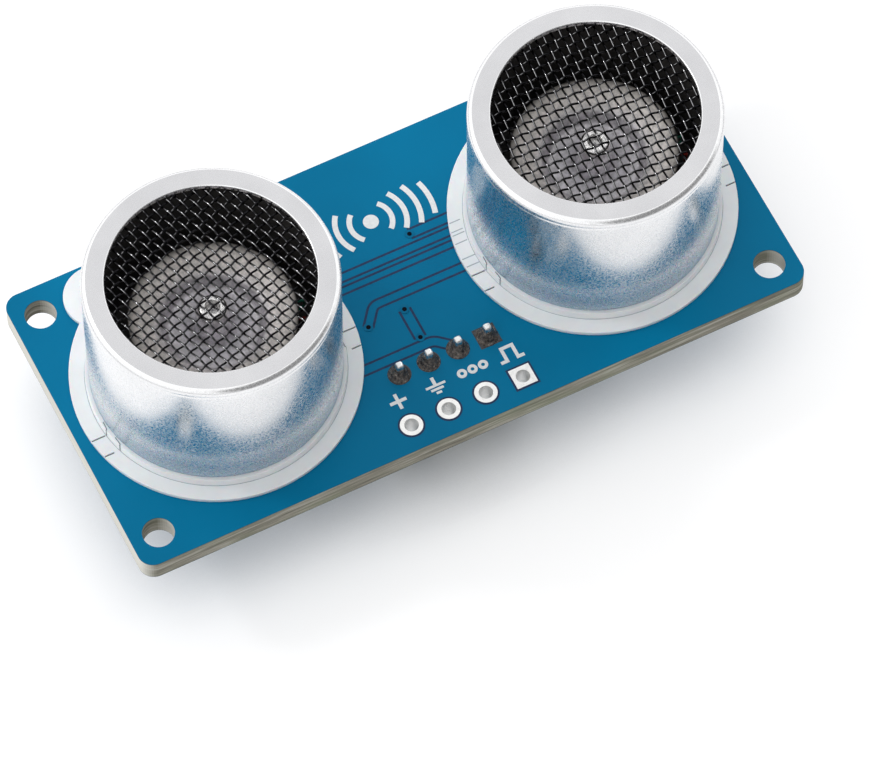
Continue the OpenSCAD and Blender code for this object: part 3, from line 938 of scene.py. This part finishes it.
def solder_joint(x, y, seed):
    """A lumpy solder cone with a concave flank round one clipped pin tip."""
    rings = 9
    sides = 28
    foot_r = (FILLET_HIGH.y - FILLET_LOW.y) / 2
    top_r = 0.3
    height = FILLET_HIGH.z - FRONT
    points = []
    faces = []
    for i in range(rings + 1):
        rise = i / rings
        r = top_r + (foot_r - top_r) * (1 - rise) ** 1.6
        for k in range(sides):
            angle = 2 * math.pi * k / sides
            spot = Vector((math.cos(angle) * 1.4, math.sin(angle) * 1.4, rise * 2.2 + seed * 7.3))
            swell = 1 + 0.16 * noise.noise(spot) + 0.07 * noise.noise(spot * 2.7)
            sink = 1 if rise < 1 else 0.94 + 0.1 * noise.noise(spot * 1.3)
            reach = min(r * swell, foot_r)
            z = FRONT + height * rise * sink
            points.append((x + reach * math.cos(angle), y + reach * math.sin(angle), z))
    for i in range(rings):
        for k in range(sides):
            a = i * sides + k
            b = i * sides + (k + 1) % sides
            faces.append((a, b, b + sides, a + sides))
    faces.append(tuple(reversed(range(sides))))
    faces.append(tuple(rings * sides + k for k in range(sides)))
    return points, faces


PLUG_PITCH = 2.0
SOLDER_LAND = 0.72
SOLDER_LAND_T = 0.02
PLUG_X = [PLUG_PITCH * (i - 1.5) for i in range(4)]
PLUG_Y = (TIP_LOW.y + TIP_HIGH.y) / 2
joints = [solder_joint(x, PLUG_Y, i) for i, x in enumerate(PLUG_X)]
joints += [annulus((x, PLUG_Y), 0.4, 0.05, BOARD_LOW.z + 0.02, FRONT - 0.02, 24) for x in PLUG_X]
add_piece("front_solder_joints", join(joints), FLUXED_SOLDER, ["connector_solder"], 60)
lands = [annulus((x, PLUG_Y), SOLDER_LAND + 0.02, 0.1, FRONT, SOLDER_LAND_T) for x in PLUG_X[:3]]
lands.append(block(PLUG_X[3] - SOLDER_LAND, PLUG_Y - SOLDER_LAND, PLUG_X[3] + SOLDER_LAND,
                   PLUG_Y + SOLDER_LAND, FRONT, SOLDER_LAND_T))
add_piece("front_solder_lands", join(lands), DARK_LAND)

# ---------------------------------------------------------------- lines on the light rings
# Radii and heights of the ring's flange and collar, and the places of the flange's slits, in mm
RING_R = 9.05
COLLAR_R = 8.05
COLLAR_TOP = CAN_LOW.z
FLANGE_TOP = FRONT + 0.3
SLIT_Y = (-1.15, -2.45)
SLIT_SHADE_Z = FRONT + 0.185
LINE_T = 0.004
# Radius of each point of the bend that a slit's line ends in, and how far it lies beyond the slit in y
SLIT_BEND = ((8.02, 0), (7.97, 0.08), (7.93, 0.3), (7.9, 0.62))
# Y and length of each faint line on the receiver's flange
GHOST_LINES = ((2.8, 0.75), (2.15, 0.8), (1.9, 0.85), (1.3, 0.85), (0.15, 0.95), (-0.45, 0.95))


def ring_ghosts():
    """Tracks of the board that show faintly through the thin flange of the receiver's light ring."""
    parts = []
    inside = RING_R - 0.05
    for y, reach in GHOST_LINES:
        edge = CAN_X - math.sqrt(inside ** 2 - y * y)
        parts.append(strip([Vector((edge + 0.03, y)), Vector((edge + reach, y))], 0.07, FLANGE_TOP, 0.003))
    return join(parts)


add_piece("flange_ghost_lines", ring_ghosts(), GHOST_AND_SHADOW_LINE)


def slit_lines(x):
    """Shade in the flange's slits, with the lines that carry on over the collar and bend along the can."""
    parts = []
    for side in (-1, 1):
        for y in SLIT_Y:
            outer = math.sqrt(RING_R ** 2 - y * y) - 0.04
            inner = math.sqrt(COLLAR_R ** 2 - y * y) + 0.03
            parts.append(strip([Vector((x + side * outer, y)), Vector((x + side * inner, y))], 0.09,
                               SLIT_SHADE_Z, 0.012))
            wall = x + side * math.sqrt(COLLAR_R ** 2 - y * y)
            parts.append(strip([Vector((wall - side * 0.01, y)), Vector((wall + side * 0.01, y))], 0.08,
                               FLANGE_TOP, COLLAR_TOP - FLANGE_TOP + 0.01))
            bend = [Vector((x + side * math.sqrt(r * r - (y + rise) * (y + rise)), y + rise))
                    for r, rise in SLIT_BEND]
            parts.append(strip(bend, 0.05, COLLAR_TOP, LINE_T))
    return join(parts)


def foot_line(x):
    """The thin shadow line at the foot of the collar."""
    return annulus((x, 0), COLLAR_R + 0.05, COLLAR_R - 0.01, FLANGE_TOP, LINE_T, PART_SEGMENTS)


for name, side in SIDES.items():
    x = side * CAN_X
    add_piece(f"{name}_slit_lines", slit_lines(x), SLIT_SHADE)
    # The foot line is a painted shadow line at the collar's foot
    add_piece(f"{name}_foot_line", foot_line(x), GHOST_AND_SHADOW_LINE)

# ---------------------------------------------------------------- floor, light and camera
# Side of the square floor, in m
FLOOR_SIDE = 3

floor_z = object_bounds()[0][2]
bpy.ops.mesh.primitive_plane_add(size=FLOOR_SIDE, location=(0, 0, floor_z))
floor = bpy.context.object
floor.name = "floor"
floor.data.materials.append(FLOOR)

# Cosine of the angle from the dim patch's middle, at its outer edge and where it is fully dim
DIM_EDGE = (0.68, 0.77)


def studio_world(level, dim_share, dim_side):
    """Even white light from all round, but for one dimmer patch that darkens a line on each can's edge."""
    made = bpy.data.worlds.new("studio")
    bpy.context.scene.world = made
    made.use_nodes = True
    tree = made.node_tree
    place = tree.nodes.new("ShaderNodeTexCoord")
    toward = tree.nodes.new("ShaderNodeVectorMath")
    toward.operation = "DOT_PRODUCT"
    toward.inputs[1].default_value = Vector(dim_side).normalized()
    tree.links.new(place.outputs["Generated"], toward.inputs[0])
    fade = tree.nodes.new("ShaderNodeValToRGB")
    for element, spot, light in zip(fade.color_ramp.elements, DIM_EDGE, (1, dim_share)):
        element.position = spot
        element.color = (light, light, light, 1)
    tree.nodes["Background"].inputs["Strength"].default_value = level
    tree.links.new(toward.outputs["Value"], fade.inputs["Fac"])
    tree.links.new(fade.outputs["Color"], tree.nodes["Background"].inputs["Color"])


studio_world(level=1.22, dim_share=0.25, dim_side=(0.4, -0.8, 0.4))


def softbox(name, place, size, power):
    """A square white light at place, aimed at the origin."""
    lamp = bpy.data.lights.new(name, "AREA")
    lamp.size = size
    lamp.energy = power
    holder = bpy.data.objects.new(name, lamp)
    bpy.context.scene.collection.objects.link(holder)
    holder.location = place
    holder.rotation_euler = (-Vector(place)).to_track_quat("-Z", "Y").to_euler()


softbox("key", place=(-0.22, 0.16, 0.22), size=0.05, power=0.2)

# The place and aim follow the solved camera; the lens is for a 36 mm sensor
CAMERA_PLACE = Vector((-92.775, -191.417, 380.001)) * MM
CAMERA_AIM = Vector((-0.929, -7.571, 1.6)) * MM
camera_data = bpy.data.cameras.new("camera")
camera_data.sensor_width = 36
camera_data.lens = 283.3
camera_data.clip_start = 0.01
camera = bpy.data.objects.new("camera", camera_data)
bpy.context.scene.collection.objects.link(camera)
camera.location = CAMERA_PLACE
camera.rotation_euler = (CAMERA_AIM - CAMERA_PLACE).to_track_quat("-Z", "Y").to_euler()
bpy.context.scene.camera = camera
bpy.context.scene.view_settings.view_transform = "Standard"

bpy.context.view_layer.update()
